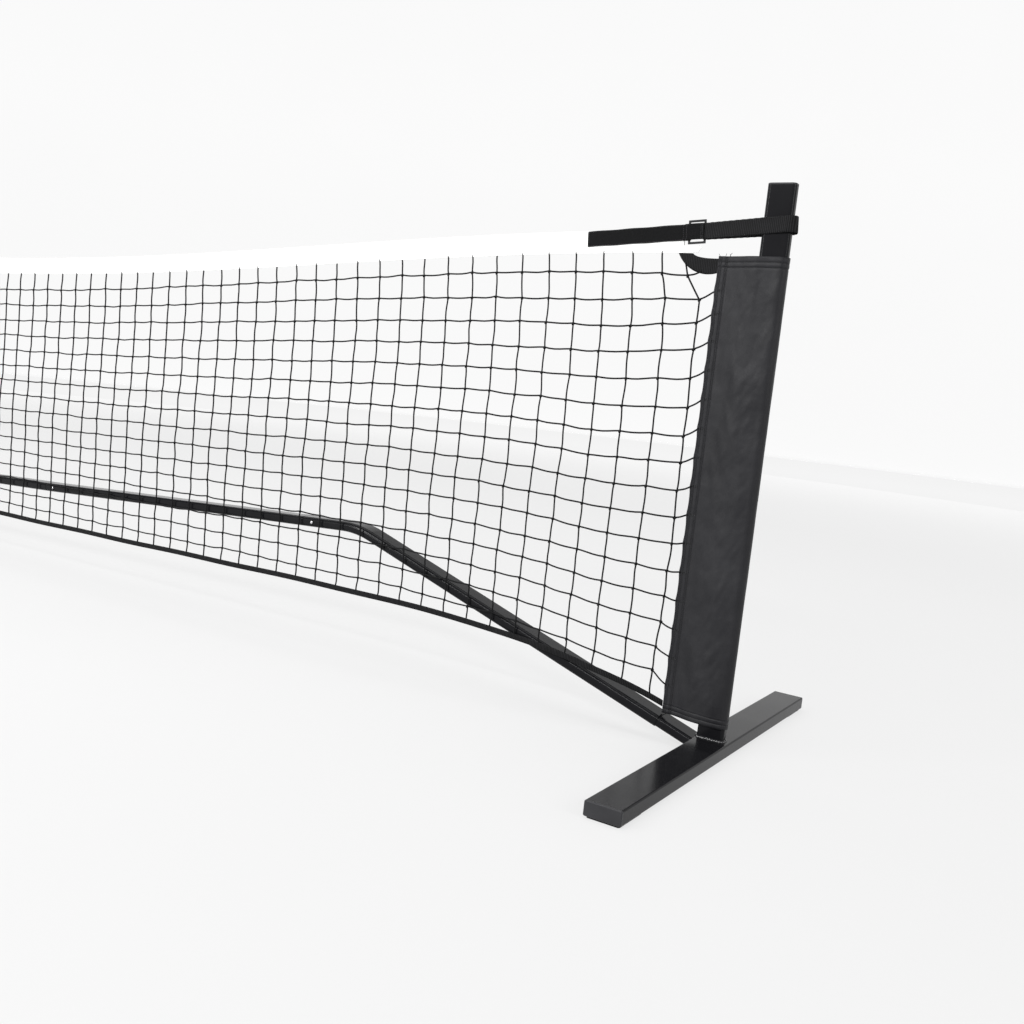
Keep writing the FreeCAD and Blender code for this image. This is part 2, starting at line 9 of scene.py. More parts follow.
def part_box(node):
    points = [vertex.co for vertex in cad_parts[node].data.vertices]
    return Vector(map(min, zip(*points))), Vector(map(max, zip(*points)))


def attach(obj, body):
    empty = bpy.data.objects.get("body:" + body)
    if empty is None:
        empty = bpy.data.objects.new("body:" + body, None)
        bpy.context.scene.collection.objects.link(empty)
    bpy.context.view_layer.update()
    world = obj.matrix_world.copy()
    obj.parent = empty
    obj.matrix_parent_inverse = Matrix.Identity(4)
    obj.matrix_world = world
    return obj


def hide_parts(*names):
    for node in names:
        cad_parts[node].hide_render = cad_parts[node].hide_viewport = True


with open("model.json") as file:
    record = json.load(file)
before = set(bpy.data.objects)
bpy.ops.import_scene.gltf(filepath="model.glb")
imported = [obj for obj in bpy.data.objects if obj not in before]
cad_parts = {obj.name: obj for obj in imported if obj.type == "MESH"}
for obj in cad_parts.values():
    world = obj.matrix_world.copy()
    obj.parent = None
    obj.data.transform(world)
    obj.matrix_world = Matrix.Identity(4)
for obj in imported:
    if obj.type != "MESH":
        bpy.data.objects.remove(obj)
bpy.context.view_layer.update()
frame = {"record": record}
random.seed(7)

# ---------- places, in metres
FOOT_LOW, FOOT_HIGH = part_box("right_foot_tube")
POST_X = (FOOT_LOW[0] + FOOT_HIGH[0]) / 2       # centre line of the end frame's foot
POST_LOW, POST_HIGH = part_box("right_post_tube")
POST_AXIS = (POST_LOW[0] + POST_HIGH[0]) / 2
SLEEVE_LOW, SLEEVE_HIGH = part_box("right_sleeve")
TAPE_HEIGHT = 0.042
TAPE_END = 0.178            # run of the tape's end; runs are measured inboard from the foot's centre
SEAM = 0.108                # run of the sleeve's seam
COLUMN_RUN = 0.250          # run and spacing of the mesh's columns; column 0 is the third
COLUMN_STEP = 0.06031
LAST_COLUMN = 51
ROWS = 16
KNOT_HALF = 0.0040          # half the length of a knot
TWINE = 0.00170             # radius
HUB_RUN, HUB_Z, HUB_RADIUS = 0.1266, 0.9338, 0.0674
STRAP_TILT = math.radians(4.57)
STRAP_Z = 0.954
STRAP_WIDTH = 0.029
RIB_PITCH = 0.0034          # webbing's cross ribs
RIB_WAVE = 0.314 / RIB_PITCH


def tape_top(run):
    out = (POST_X - run) / POST_X
    return 0.834 + 0.113 * ((1 - math.cos(math.pi * out)) / 2) ** 2.2


def hem_middle(run):
    out = (POST_X - run) / POST_X
    return 0.1175 + 0.060 * out ** 2 - 0.105 * math.exp(-(run - SEAM) / 0.250)


def net_front(run, z):
    """How far the net stands off the posts' plane; it hangs in front of the rail."""
    spread = min(1.0, max(0.0, (run - SEAM) / 0.152))
    lean = min(1.0, max(0.0, (0.812 - z) / 0.392))
    return -0.031 * spread * lean


# ---------- node helpers
def new_material(name):
    mat = bpy.data.materials.new(name)
    mat.use_nodes = True
    tree = mat.node_tree
    shader = tree.nodes["Principled BSDF"]
    coords = tree.nodes.new("ShaderNodeTexCoord")
    return mat, tree, shader, coords.outputs["Object"]


def scaled(tree, vector, scale, turn=(0, 0, 0)):
    node = tree.nodes.new("ShaderNodeMapping")
    node.inputs["Scale"].default_value = scale
    node.inputs["Rotation"].default_value = turn
    tree.links.new(vector, node.inputs["Vector"])
    return node.outputs["Vector"]


def noise_of(tree, vector, scale, detail=4.0, rough=0.55):
    node = tree.nodes.new("ShaderNodeTexNoise")
    node.inputs["Scale"].default_value = scale
    node.inputs["Detail"].default_value = detail
    node.inputs["Roughness"].default_value = rough
    tree.links.new(vector, node.inputs["Vector"])
    return node.outputs["Fac"]


def wave_of(tree, vector, scale, direction, distortion=0.0):
    node = tree.nodes.new("ShaderNodeTexWave")
    node.bands_direction = direction
    node.inputs["Scale"].default_value = scale
    node.inputs["Distortion"].default_value = distortion
    tree.links.new(vector, node.inputs["Vector"])
    return node.outputs["Fac"]


def ramp(tree, fac, stops):
    node = tree.nodes.new("ShaderNodeValToRGB")
    elements = node.color_ramp.elements
    while len(elements) < len(stops):
        elements.new(0.5)
    for element, (place, colour) in zip(elements, stops):
        element.position = place
        element.color = colour if len(colour) == 4 else (*colour, 1.0)
    tree.links.new(fac, node.inputs["Fac"])
    return node.outputs["Color"]


def between(tree, fac, low, high):
    """The 0 to 1 pattern spread over low to high."""
    node = tree.nodes.new("ShaderNodeMapRange")
    node.inputs["To Min"].default_value = low
    node.inputs["To Max"].default_value = high
    tree.links.new(fac, node.inputs["Value"])
    return node.outputs["Result"]


def math_of(tree, kind, a, b):
    node = tree.nodes.new("ShaderNodeMath")
    node.operation = kind
    for socket, value in ((node.inputs[0], a), (node.inputs[1], b)):
        if isinstance(value, (int, float)):
            socket.default_value = value
        else:
            tree.links.new(value, socket)
    return node.outputs[0]


def bump(tree, shader, height, strength, distance, under=None):
    node = tree.nodes.new("ShaderNodeBump")
    node.inputs["Strength"].default_value = strength
    node.inputs["Distance"].default_value = distance
    tree.links.new(height, node.inputs["Height"])
    if under is not None:
        tree.links.new(under, node.inputs["Normal"])
    tree.links.new(node.outputs["Normal"], shader.inputs["Normal"])
    return node.outputs["Normal"]


def steel_material():
    """Satin black powder coat: barely visible orange peel, faint dust and handling marks."""
    mat, tree, shader, place = new_material("coated_steel_look")
    dust = noise_of(tree, place, 9.0, 6.0, 0.6)
    colour = ramp(tree, dust, [(0.30, (0.0045, 0.0045, 0.0055)), (0.62, (0.0070, 0.0070, 0.0080)),
                               (0.80, (0.0120, 0.0118, 0.0125))])
    tree.links.new(colour, shader.inputs["Base Color"])
    smear = noise_of(tree, scaled(tree, place, (3, 9, 9)), 1.6, 3.0, 0.5)
    tree.links.new(between(tree, smear, 0.14, 0.24), shader.inputs["Roughness"])
    shader.inputs["Specular IOR Level"].default_value = 0.10
    peel = noise_of(tree, place, 420.0, 2.0, 0.5)
    bump(tree, shader, peel, 0.05, 0.0002)
    return mat


def weld_material():
    mat, tree, shader, place = new_material("weld_metal_look")
    mottle = noise_of(tree, place, 180.0, 4.0)
    colour = ramp(tree, mottle, [(0.35, (0.008, 0.008, 0.009)), (0.70, (0.022, 0.022, 0.024))])
    tree.links.new(colour, shader.inputs["Base Color"])
    tree.links.new(between(tree, mottle, 0.12, 0.30), shader.inputs["Roughness"])
    shader.inputs["Coat Weight"].default_value = 0.35
    shader.inputs["Coat Roughness"].default_value = 0.06
    bump(tree, shader, noise_of(tree, place, 420.0, 3.0), 0.35, 0.0006)
    return mat


def plastic_material(name, dark, light, rough, grain):
    """Moulded plastic with a fine spark-eroded grain."""
    mat, tree, shader, place = new_material(name)
    cloud = noise_of(tree, place, 14.0, 3.0)
    tree.links.new(ramp(tree, cloud, [(0.3, dark), (0.75, light)]), shader.inputs["Base Color"])
    fine = noise_of(tree, place, grain, 3.0, 0.6)
    tree.links.new(between(tree, fine, rough - 0.06, rough + 0.08), shader.inputs["Roughness"])
    shader.inputs["Specular IOR Level"].default_value = 0.20
    bump(tree, shader, fine, 0.12, 0.0003)
    return mat


def sleeve_material():
    """Coated plain-weave nylon: fine weave, soft sheen, uneven coating."""
    mat, tree, shader, place = new_material("sleeve_cloth_look")
    cloud = noise_of(tree, scaled(tree, place, (5.0, 5.0, 2.4)), 3.0, 5.0, 0.55)
    colour = ramp(tree, cloud, [(0.28, (0.0070, 0.0070, 0.0085)), (0.55, (0.0100, 0.0100, 0.0120)),
                                (0.80, (0.0150, 0.0150, 0.0172))])
    tree.links.new(colour, shader.inputs["Base Color"])
    tree.links.new(between(tree, cloud, 0.40, 0.60), shader.inputs["Roughness"])
    shader.inputs["Specular IOR Level"].default_value = 0.22
    shader.inputs["Sheen Weight"].default_value = 0.04
    shader.inputs["Sheen Roughness"].default_value = 0.45
    warp = wave_of(tree, place, 190.0, "X")
    weft = wave_of(tree, place, 190.0, "Z")
    weave = math_of(tree, "MULTIPLY", warp, weft)
    creases = noise_of(tree, scaled(tree, place, (1.0, 1.0, 0.9), (0.0, 0.6, 0.0)), 15.0, 3.0, 0.45)
    soft = bump(tree, shader, creases, 0.80, 0.0080)
    bump(tree, shader, weave, 0.30, 0.0004, soft)
    return mat


def webbing_material():
    """Black nylon webbing: cross ribs, coloured lighter on the ridges as painted highlight and darker in
    the valleys as painted shade, with random mottling.
    """
    mat, tree, shader, place = new_material("webbing_look")
    cloud = noise_of(tree, place, 34.0, 5.0, 0.6)
    ribs = wave_of(tree, place, RIB_WAVE, "X")
    # painted light and shade: the colour follows the rib wave, a painted highlight on each ridge and
    # painted shade in each valley, mottled at random by the cloud
    tone = math_of(tree, "MULTIPLY", ribs, between(tree, cloud, 0.35, 1.0))
    colour = ramp(tree, tone, [(0.12, (0.0008, 0.0008, 0.0010)), (0.45, (0.0035, 0.0035, 0.0040)),
                               (0.85, (0.0200, 0.0200, 0.0220))])
    tree.links.new(colour, shader.inputs["Base Color"])
    tree.links.new(between(tree, cloud, 0.55, 0.75), shader.inputs["Roughness"])
    shader.inputs["Specular IOR Level"].default_value = 0.15
    yarn = wave_of(tree, place, 260.0, "DIAGONAL", 1.5)
    coarse = bump(tree, shader, ribs, 0.55, 0.0008)
    bump(tree, shader, yarn, 0.30, 0.0004, coarse)
    return mat


def pile_material():
    """Brushed loop pile: deep, fuzzy and almost black."""
    mat, tree, shader, place = new_material("strap_pile_look")
    fluff = noise_of(tree, place, 420.0, 6.0, 0.75)
    colour = ramp(tree, fluff, [(0.36, (0.0005, 0.0005, 0.0006)), (0.62, (0.0024, 0.0024, 0.0030)),
                                (0.80, (0.0200, 0.0200, 0.0230))])
    tree.links.new(colour, shader.inputs["Base Color"])
    shader.inputs["Roughness"].default_value = 0.95
    shader.inputs["Specular IOR Level"].default_value = 0.15
    shader.inputs["Sheen Weight"].default_value = 0.05
    shader.inputs["Sheen Roughness"].default_value = 0.6
    bump(tree, shader, fluff, 0.9, 0.0012)
    return mat


def twine_material():
    """Twisted nylon twine, tarred black."""
    mat, tree, shader, place = new_material("net_twine_look")
    cloud = noise_of(tree, place, 60.0, 4.0)
    colour = ramp(tree, cloud, [(0.3, (0.0030, 0.0030, 0.0034)), (0.75, (0.0070, 0.0070, 0.0078))])
    tree.links.new(colour, shader.inputs["Base Color"])
    tree.links.new(between(tree, cloud, 0.55, 0.70), shader.inputs["Roughness"])
    shader.inputs["Specular IOR Level"].default_value = 0.12
    lay = wave_of(tree, place, 330.0, "DIAGONAL", 2.0)
    bump(tree, shader, lay, 0.5, 0.0005)
    return mat


def tape_material():
    """White vinyl-coated binding: tight weave and a little grime."""
    mat, tree, shader, place = new_material("white_tape_look")
    grime = noise_of(tree, scaled(tree, place, (2.0, 6.0, 9.0)), 5.0, 6.0, 0.6)
    colour = ramp(tree, grime, [(0.25, (0.80, 0.80, 0.79)), (0.55, (0.88, 0.88, 0.87)),
                                (0.80, (0.92, 0.92, 0.915))])
    tree.links.new(colour, shader.inputs["Base Color"])
    tree.links.new(between(tree, grime, 0.42, 0.60), shader.inputs["Roughness"])
    weave = math_of(tree, "MULTIPLY", wave_of(tree, place, 230.0, "X"),
                    wave_of(tree, place, 230.0, "Z"))
    bump(tree, shader, weave, 0.22, 0.0003)
    return mat


def thread_material(name, dark, light):
    mat, tree, shader, place = new_material(name)
    tone = noise_of(tree, place, 300.0, 3.0)
    tree.links.new(ramp(tree, tone, [(0.3, dark), (0.7, light)]), shader.inputs["Base Color"])
    shader.inputs["Roughness"].default_value = 0.55
    bump(tree, shader, wave_of(tree, place, 900.0, "DIAGONAL"), 0.4, 0.0002)
    return mat


def bare_steel_material(name, dark, light, rough):
    """Plated steel with fine drawn lines."""
    mat, tree, shader, place = new_material(name)
    lines = noise_of(tree, scaled(tree, place, (40, 400, 400)), 6.0, 4.0)
    tree.links.new(ramp(tree, lines, [(0.3, dark), (0.7, light)]), shader.inputs["Base Color"])
    shader.inputs["Metallic"].default_value = 1.0
    tree.links.new(between(tree, lines, rough - 0.05, rough + 0.10), shader.inputs["Roughness"])
    bump(tree, shader, lines, 0.12, 0.0002)
    return mat


def floor_material():
    """Pale paper backdrop, a little brighter towards the far wall."""
    mat, tree, shader, place = new_material("studio_floor")
    cloud = noise_of(tree, place, 0.6, 2.0)
    colour = ramp(tree, cloud, [(0.2, (0.128, 0.128, 0.128)), (0.8, (0.136, 0.136, 0.136))])
    tree.links.new(colour, shader.inputs["Base Color"])
    shader.inputs["Roughness"].default_value = 0.8
    shader.inputs["Specular IOR Level"].default_value = 0.1
    shader.inputs["Emission Color"].default_value = (1.0, 1.0, 1.0, 1.0)
    far = tree.nodes.new("ShaderNodeVectorMath")
    far.operation = "LENGTH"
    tree.links.new(place, far.inputs[0])
    glow = tree.nodes.new("ShaderNodeMapRange")
    glow.interpolation_type = "SMOOTHSTEP"
    for name, value in (("From Min", 3.0), ("From Max", 12.0), ("To Min", 0.71), ("To Max", 0.87)):
        glow.inputs[name].default_value = value
    tree.links.new(far.outputs["Value"], glow.inputs["Value"])
    tree.links.new(glow.outputs["Result"], shader.inputs["Emission Strength"])
    return mat


LOOKS = {
    "coated_steel": steel_material(),
    "weld_metal": weld_material(),
    "cap_plastic": plastic_material("cap_plastic_look", (0.022, 0.022, 0.024),
                                    (0.034, 0.034, 0.037), 0.42, 900.0),
    "pad_rubber": plastic_material("pad_rubber_look", (0.008, 0.008, 0.008),
                                   (0.016, 0.016, 0.016), 0.80, 500.0),
    "sleeve_cloth": sleeve_material(),
    "webbing": webbing_material(),
    "ring_plastic": plastic_material("ring_plastic_look", (0.006, 0.006, 0.007),
                                     (0.011, 0.011, 0.012), 0.34, 1200.0),
    "hook_tape": pile_material(),
    "button_steel": bare_steel_material("button_steel_look", (0.50, 0.50, 0.51),
                                        (0.68, 0.68, 0.69), 0.22),
    "spring_steel": bare_steel_material("spring_steel_look", (0.20, 0.21, 0.25),
                                        (0.34, 0.35, 0.38), 0.30),
    "net_twine": twine_material(),
    "white_tape": tape_material(),
}
LOOKS["strap_pile"] = LOOKS["hook_tape"]
BLACK_THREAD = thread_material("black_thread_look", (0.004, 0.004, 0.005), (0.014, 0.014, 0.016))
STRAP_THREAD = thread_material("strap_thread_look", (0.020, 0.020, 0.022), (0.050, 0.050, 0.055))
WHITE_THREAD = thread_material("white_thread_look", (0.74, 0.74, 0.73), (0.86, 0.86, 0.85))


# ---------- mesh helpers
def add_piece(name, verts, faces, look, body, smooth=True):
    mesh = bpy.data.meshes.new(name)
    mesh.from_pydata(verts, [], faces)
    mesh.update()
    if smooth:
        mesh.polygons.foreach_set("use_smooth", [True] * len(mesh.polygons))
    obj = bpy.data.objects.new(name, mesh)
    bpy.context.scene.collection.objects.link(obj)
    mesh.materials.append(look)
    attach(obj, body)
    return obj


def turned(verts, faces):
    """The same mesh at the other end of the net, with its faces turned out again."""
    return [(-x, y, z) for x, y, z in verts], [tuple(reversed(f)) for f in faces]


def tube(verts, faces, path, radius, sides=6, closed_ends=False, ref=Vector((0, 1, 0))):
    """Round tube along a short path that never runs along ref."""
    first = len(verts)
    count = len(path)
    for i, point in enumerate(path):
        ahead = path[min(i + 1, count - 1)] - path[max(i - 1, 0)]
        ahead.normalize()
        a = ahead.cross(ref).normalized()
        b = a.cross(ahead)
        r = radius[i] if isinstance(radius, list) else radius
        for k in range(sides):
            angle = 2 * math.pi * k / sides
            verts.append(tuple(point + a * (r * math.cos(angle)) + b * (r * math.sin(angle))))
    for i in range(count - 1):
        for k in range(sides):
            p = first + i * sides + k
            q = first + i * sides + (k + 1) % sides
            faces.append((p, q, q + sides, p + sides))
    if closed_ends:
        faces.append(tuple(reversed(range(first, first + sides))))
        last = first + (count - 1) * sides
        faces.append(tuple(range(last, last + sides)))


def grid_faces(faces, first, rows, columns, wrap_columns=False, wrap_rows=False):
    """Quads over a rows by columns block of vertices."""
    for i in range(rows if wrap_rows else rows - 1):
        for k in range(columns if wrap_columns else columns - 1):
            a = first + i * columns + k
            b = first + i * columns + (k + 1) % columns
            c = first + ((i + 1) % rows) * columns + (k + 1) % columns
            d = first + ((i + 1) % rows) * columns + k
            faces.append((a, b, c, d))


def stitch_run(verts, faces, line, out, pitch=0.0042, length=0.0030, radius=0.00032):
    """Short raised threads along a line; line(t) and out(t) give a point and its way out."""
    total = 0.0
    samples = 400
    points = [line(i / samples) for i in range(samples + 1)]
    lengths = [0.0]
    for a, b in zip(points, points[1:]):
        total += (b - a).length
        lengths.append(total)
    count = max(1, int(total / pitch))
    k = 0
    for n in range(count):
        start = (n + 0.5) * total / count - length / 2
        ends = []
        for s in (start, start + length):
            while k < samples - 1 and lengths[k + 1] < s:
                k += 1
            span = max(1e-9, lengths[k + 1] - lengths[k])
            ends.append((k + (s - lengths[k]) / span) / samples)
        t = (ends[0] + ends[1]) / 2
        a, b = line(ends[0]), line(ends[1])
        away = out(t)
        lift = away * (radius * 0.9)
        middle = (a + b) / 2 + lift
        tube(verts, faces, [a - lift * 0.4, middle - (b - a) * 0.2, middle + (b - a) * 0.2, b - lift * 0.4],
             [radius * 0.7, radius, radius, radius * 0.7], 4, True, away)


def tilt_point(run, y, z):
    """A point of the strap end, drawn level and then tilted about the post."""
    x = -run
    dz = z - STRAP_Z
    c, s = math.cos(STRAP_TILT), math.sin(STRAP_TILT)
    return Vector((POST_X + x * c - dz * s, y, STRAP_Z + x * s + dz * c))


def webbing_band(path, width, thick, rib_pitch=RIB_PITCH, rib=0.00038, seed=0.0):
    """Ribbed band whose middle line is path: (run, y) points, drawn level and then tilted."""
    verts, faces = [], []
    samples = []
    for (r0, y0), (r1, y1) in zip(path, path[1:]):
        span = math.hypot(r1 - r0, y1 - y0)
        steps = max(1, round(span / (rib_pitch / 2)))
        for i in range(steps):
            t = i / steps
            samples.append((r0 + (r1 - r0) * t, y0 + (y1 - y0) * t))
    samples.append(path[-1])
    across = 11
    for i, (run, y) in enumerate(samples):
        before, after = samples[max(0, i - 1)], samples[min(len(samples) - 1, i + 1)]
        dr, dy = after[0] - before[0], after[1] - before[1]
        size = math.hypot(dr, dy) or 1.0
        nr, ny = -dy / size, dr / size
        ridge = rib if i % 2 else 0.0
        ring = []
        for side in (1, -1):
            for k in range(across):
                t = k / (across - 1) * 2 - 1
                h = side * t * (width / 2 + 0.0002 * math.sin(i * 0.9 + seed))
                edge_drop = max(0.0, abs(t) - 0.84) / 0.16
                half = thick / 2 * (1 - 0.55 * edge_drop ** 2) - rib + ridge
                ring.append((run + nr * half * side, y + ny * half * side, STRAP_Z + h))
        verts += [tuple(tilt_point(*p)) for p in ring]
    columns = 2 * across
    grid_faces(faces, 0, len(samples), columns, wrap_columns=True)
    faces.append(tuple(reversed(range(columns))))
    last = (len(samples) - 1) * columns
    faces.append(tuple(range(last, last + columns)))
    return verts, faces


def both_ends(name, verts, faces, look, body_of_side, node=None, flip=False):
    """A piece for each end of the net, the left one mirrored."""
    made = []
    for side in ("right", "left"):
        v, f = (verts, faces) if side == "right" else turned(verts, faces)
        if flip:
            f = [tuple(reversed(q)) for q in f]
        obj = add_piece(side + "_" + name, v, f, look, body_of_side(side))
        if node:
            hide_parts(side + "_" + node)
        made.append(obj)
    return made


def on_net(side):
    return "net"


# ---------- camera first
def make_camera():
    data = bpy.data.cameras.new("camera")
    data.sensor_width = 36.0
    data.lens = 1070.71 * 36.0 / 1024.0
    data.clip_start = 0.01
    data.clip_end = 200.0
    cam = bpy.data.objects.new("camera", data)
    bpy.context.scene.collection.objects.link(cam)
    yaw, pitch, roll = 0.54374, 0.11099, 0.10740
    ahead = Vector((-math.sin(yaw) * math.cos(pitch), math.cos(yaw) * math.cos(pitch),
                    -math.sin(pitch)))
    right = Vector((math.cos(yaw), math.sin(yaw), 0.0))
    up = right.cross(ahead)
    right_r = right * math.cos(roll) + up * math.sin(roll)
    up_r = up * math.cos(roll) - right * math.sin(roll)
    turn = Matrix((right_r, up_r, -ahead)).transposed()
    cam.matrix_world = Matrix.Translation((POST_X + 0.6359, -1.8508, 0.6183)) @ turn.to_4x4()
    bpy.context.scene.camera = cam


make_camera()


# ---------- metal: CAD nodes and welds
def dress_cad_nodes():
    """Every carried-over CAD node takes the look of its material slot."""
    for part in frame["record"]["subparts"]:
        obj = bpy.data.objects.get(part["node"])
        look = LOOKS[part["material_slot"]]
        if not obj.material_slots:
            obj.data.materials.append(look)
        for holder in obj.material_slots:
            holder.material = look


dress_cad_nodes()


def oval_points(half_x, half_y, corner, count):
    """Points spaced evenly round a rounded rectangle, starting at +X."""
    a, b = half_x - corner, half_y - corner
    outline = []
    for cx, cy, start in ((a, b, 0), (-a, b, 90), (-a, -b, 180), (a, -b, 270)):
        for i in range(13):
            angle = math.radians(start + 90 * i / 12)
            outline.append((cx + corner * math.cos(angle), cy + corner * math.sin(angle)))
    outline.append(outline[0])
    lengths = [0.0]
    for p, q in zip(outline, outline[1:]):
        lengths.append(lengths[-1] + math.dist(p, q))
    points = []
    k = 0
    for i in range(count):
        s = lengths[-1] * i / count
        while lengths[k + 1] < s:
            k += 1
        t = (s - lengths[k]) / max(1e-9, lengths[k + 1] - lengths[k])
        p, q = outline[k], outline[k + 1]
        points.append((p[0] + (q[0] - p[0]) * t, p[1] + (q[1] - p[1]) * t))
    return points


def rippled_bead(verts, faces, path, outward, up, leg):
    """Closed fillet weld: a row of overlapping puddles in the corner along the path."""
    first = len(verts)
    count = len(path)
    arc = 7
    for i, point in enumerate(path):
        puddle = 0.86 + 0.20 * abs(math.sin(i * math.pi / 8)) + 0.05 * math.sin(i * 1.7)
        for k in range(arc):
            t = k / (arc - 1)
            bulge = 0.30 * math.sin(math.pi * t)
            a = (1 - t) + bulge * 0.7
            b = t + bulge * 0.7
            verts.append(tuple(point + outward[i] * (leg * puddle * a) + up[i] * (leg * puddle * b)
                               - (outward[i] + up[i]) * 0.0003))
    grid_faces(faces, first, count, arc, wrap_rows=True)


def weld_beads():
    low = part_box("right_post_tube")[0][2]
    verts, faces = [], []
    ring = oval_points(0.026, 0.011, 0.008, 240)
    path = [Vector((POST_AXIS + x, y, low)) for x, y in ring]
    outward = []
    for i in range(240):
        along = path[(i + 1) % 240] - path[i - 1]
        outward.append(Vector((along.y, -along.x, 0)).normalized())
    rippled_bead(verts, faces, path, outward, [Vector((0, 0, 1))] * 240, 0.0036)
    side_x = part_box("right_foot_tube")[0][0]
    rise = math.radians(18.0)
    ring = oval_points(0.0246, 0.0096 / math.cos(rise), 0.0066, 260)
    middle_z = 0.0140
    path = [Vector((side_x, y, middle_z + z)) for y, z in ring]
    outward, away = [], []
    for i in range(260):
        along = path[(i + 1) % 260] - path[i - 1]
        outward.append(Vector((0, along.z, -along.y)).normalized())
        away.append(Vector((-1, 0, 0)))
    kept_path = [Vector((p.x, p.y, max(p.z, 0.0046))) for p in path]
    rippled_bead(verts, faces, kept_path, outward, away, 0.0030)
    return verts, faces


# ---------- mesh of the net
def column_run(c, r):
    """Run of column c at row r; the tops lean towards the middle of the net."""
    run = COLUMN_RUN + COLUMN_STEP * c
    lean = (0.026 + 0.004 * max(0.0, run - 0.25)) * max(0.0, 1 - max(r, 0) / 10) ** 2
    lean -= 0.012 * min(1.0, max(0.0, (c - 2) / 6)) * max(0.0, (r - 6) / 9)
    if r > 0 and c < 0:
        lean *= 0.30 if c == -2 else 0.62
    if c == -2:
        lean += 0.008 if r == 0 else 0.004 * max(0, r - 11) / 4
    return run + lean


def row_height(run, r, c):
    """Height of row r; the rows even out the taper between tape and hem."""
    top = tape_top(run) - TAPE_HEIGHT - 0.040 + 0.006 * math.sin(run * 1.9)
    foot = hem_middle(run) + 0.032 + 0.014 * math.exp(-(run - 0.13) / 0.05)
    t = r / (ROWS - 1)
    t += 0.0228 * math.sin(math.pi * t)
    near = {-2: 1.0, -1: 0.7, 0: 0.25}.get(c, 0.0)
    lift = {0: -0.002, 1: 0.008, 2: 0.018}.get(r, 0.021 * math.cos((r - 2) / (ROWS - 1) * 1.6))
    return top + (foot - top) * t + near * lift


def knot_place(c, r):
    run = column_run(c, r)
    z = row_height(run, r, c)
    jitter = random.Random(c * 101 + r * 13 + 5)
    run += jitter.uniform(-0.0016, 0.0016)
    z += jitter.uniform(-0.0018, 0.0018)
    return Vector((POST_X - run, net_front(run, z), z))


def seam_place(r):
    """Where row r is sewn to the sleeve's seam."""
    z = row_height(0.130, r, -2)
    z += 0.020 * math.cos(math.pi * (r - 3.5) / 16.5) - 0.010 * max(0, r - 10) / 5
    return Vector((POST_X - SEAM + 0.003, 0.0, z))


def tab_edge(run):
    return HUB_Z - math.sqrt(HUB_RADIUS ** 2 - (run - HUB_RUN) ** 2)


def tape_place(c):
    run = column_run(c, 0) + 0.004
    if c == -2:
        run = 0.171
        return Vector((POST_X - run, 0.0, tab_edge(run) + 0.003))
    return Vector((POST_X - run, 0.0, tape_top(run) - TAPE_HEIGHT + 0.004))


def hem_place(c):
    run = column_run(c, ROWS - 1) + 0.001
    z = hem_middle(run) + 0.003
    return Vector((POST_X - run, net_front(run, z), z))


def cross(place):
    """Where the row's string passes a knot: slightly above and inboard of the column's."""
    return place + Vector((-0.0011, -0.0004, 0.0013))


def leg(a, b, seed, sag):
    """One side of a mesh cell: a nearly straight string with a little life in it."""
    rng = random.Random(seed)
    sway = rng.uniform(-1, 1) * 0.0011
    depth = rng.uniform(-1, 1) * 0.0010
    twist = rng.uniform(-1, 1) * 0.0006
    steps = 5
    points = []
    for i in range(steps + 1):
        t = i / steps
        arch = math.sin(math.pi * t)
        wave = math.sin(2 * math.pi * t)
        p = a.lerp(b, t)
        if sag:
            p.z += -0.0016 * arch + sway * arch * 0.6 + twist * wave
        else:
            p.x += sway * arch + twist * wave
        p.y += depth * arch
        points.append(p)
    return points


def knot_blob(verts, faces, place, seed):
    """Tight netting knot: two wraps and a bight, as a lumpy bead."""
    rng = random.Random(seed)
    phase = rng.uniform(0, 6.28)
    first = len(verts)
    around, rings = 8, 4
    spin = Matrix.Rotation(rng.uniform(-0.5, 0.5) + 0.7, 3, "Y")
    verts.append(tuple(place + spin @ Vector((0, 0, KNOT_HALF))))
    for i in range(1, rings):
        polar = math.pi * i / rings
        for k in range(around):
            angle = 2 * math.pi * k / around
            lump = 1 + 0.16 * math.sin(2 * angle + phase) * math.sin(polar * 2 + phase)
            p = Vector((0.0028 * math.sin(polar) * math.cos(angle) * lump,
                        0.0026 * math.sin(polar) * math.sin(angle) * lump,
                        KNOT_HALF * math.cos(polar)))
            verts.append(tuple(place + spin @ p))
    verts.append(tuple(place + spin @ Vector((0, 0, -KNOT_HALF))))
    for k in range(around):
        faces.append((first, first + 1 + k, first + 1 + (k + 1) % around))
    grid_faces(faces, first + 1, rings - 1, around, wrap_columns=True)
    last = first + 1 + (rings - 1) * around
    low = last - around
    for k in range(around):
        faces.append((last, low + (k + 1) % around, low + k))


def half_net():
    """Knotted twine of the +X half, up to and including the last column."""
    verts, faces = [], []
    knots = {}
    for c in range(-2, LAST_COLUMN + 1):
        for r in range(ROWS):
            knots[c, r] = knot_place(c, r)
    for c in range(-2, LAST_COLUMN + 1):
        line = [tape_place(c)] + [knots[c, r] for r in range(ROWS)] + [hem_place(c)]
        for i, (a, b) in enumerate(zip(line, line[1:])):
            tube(verts, faces, leg(a, b, c * 997 + i, False), TWINE)
    for r in range(ROWS):
        start = seam_place(r)
        if r == 0:
            start = Vector((POST_X - 0.1385, 0.0, tab_edge(0.1385) + 0.004))
        line = [start] + [cross(knots[c, r]) for c in range(-2, LAST_COLUMN + 1)]
        for i, (a, b) in enumerate(zip(line, line[1:])):
            tube(verts, faces, leg(a, b, r * 577 + i * 7 + 3, True), TWINE * 0.95)
    for (c, r), place in knots.items():
        knot_blob(verts, faces, place, c * 31 + r)
    return verts, faces, knots


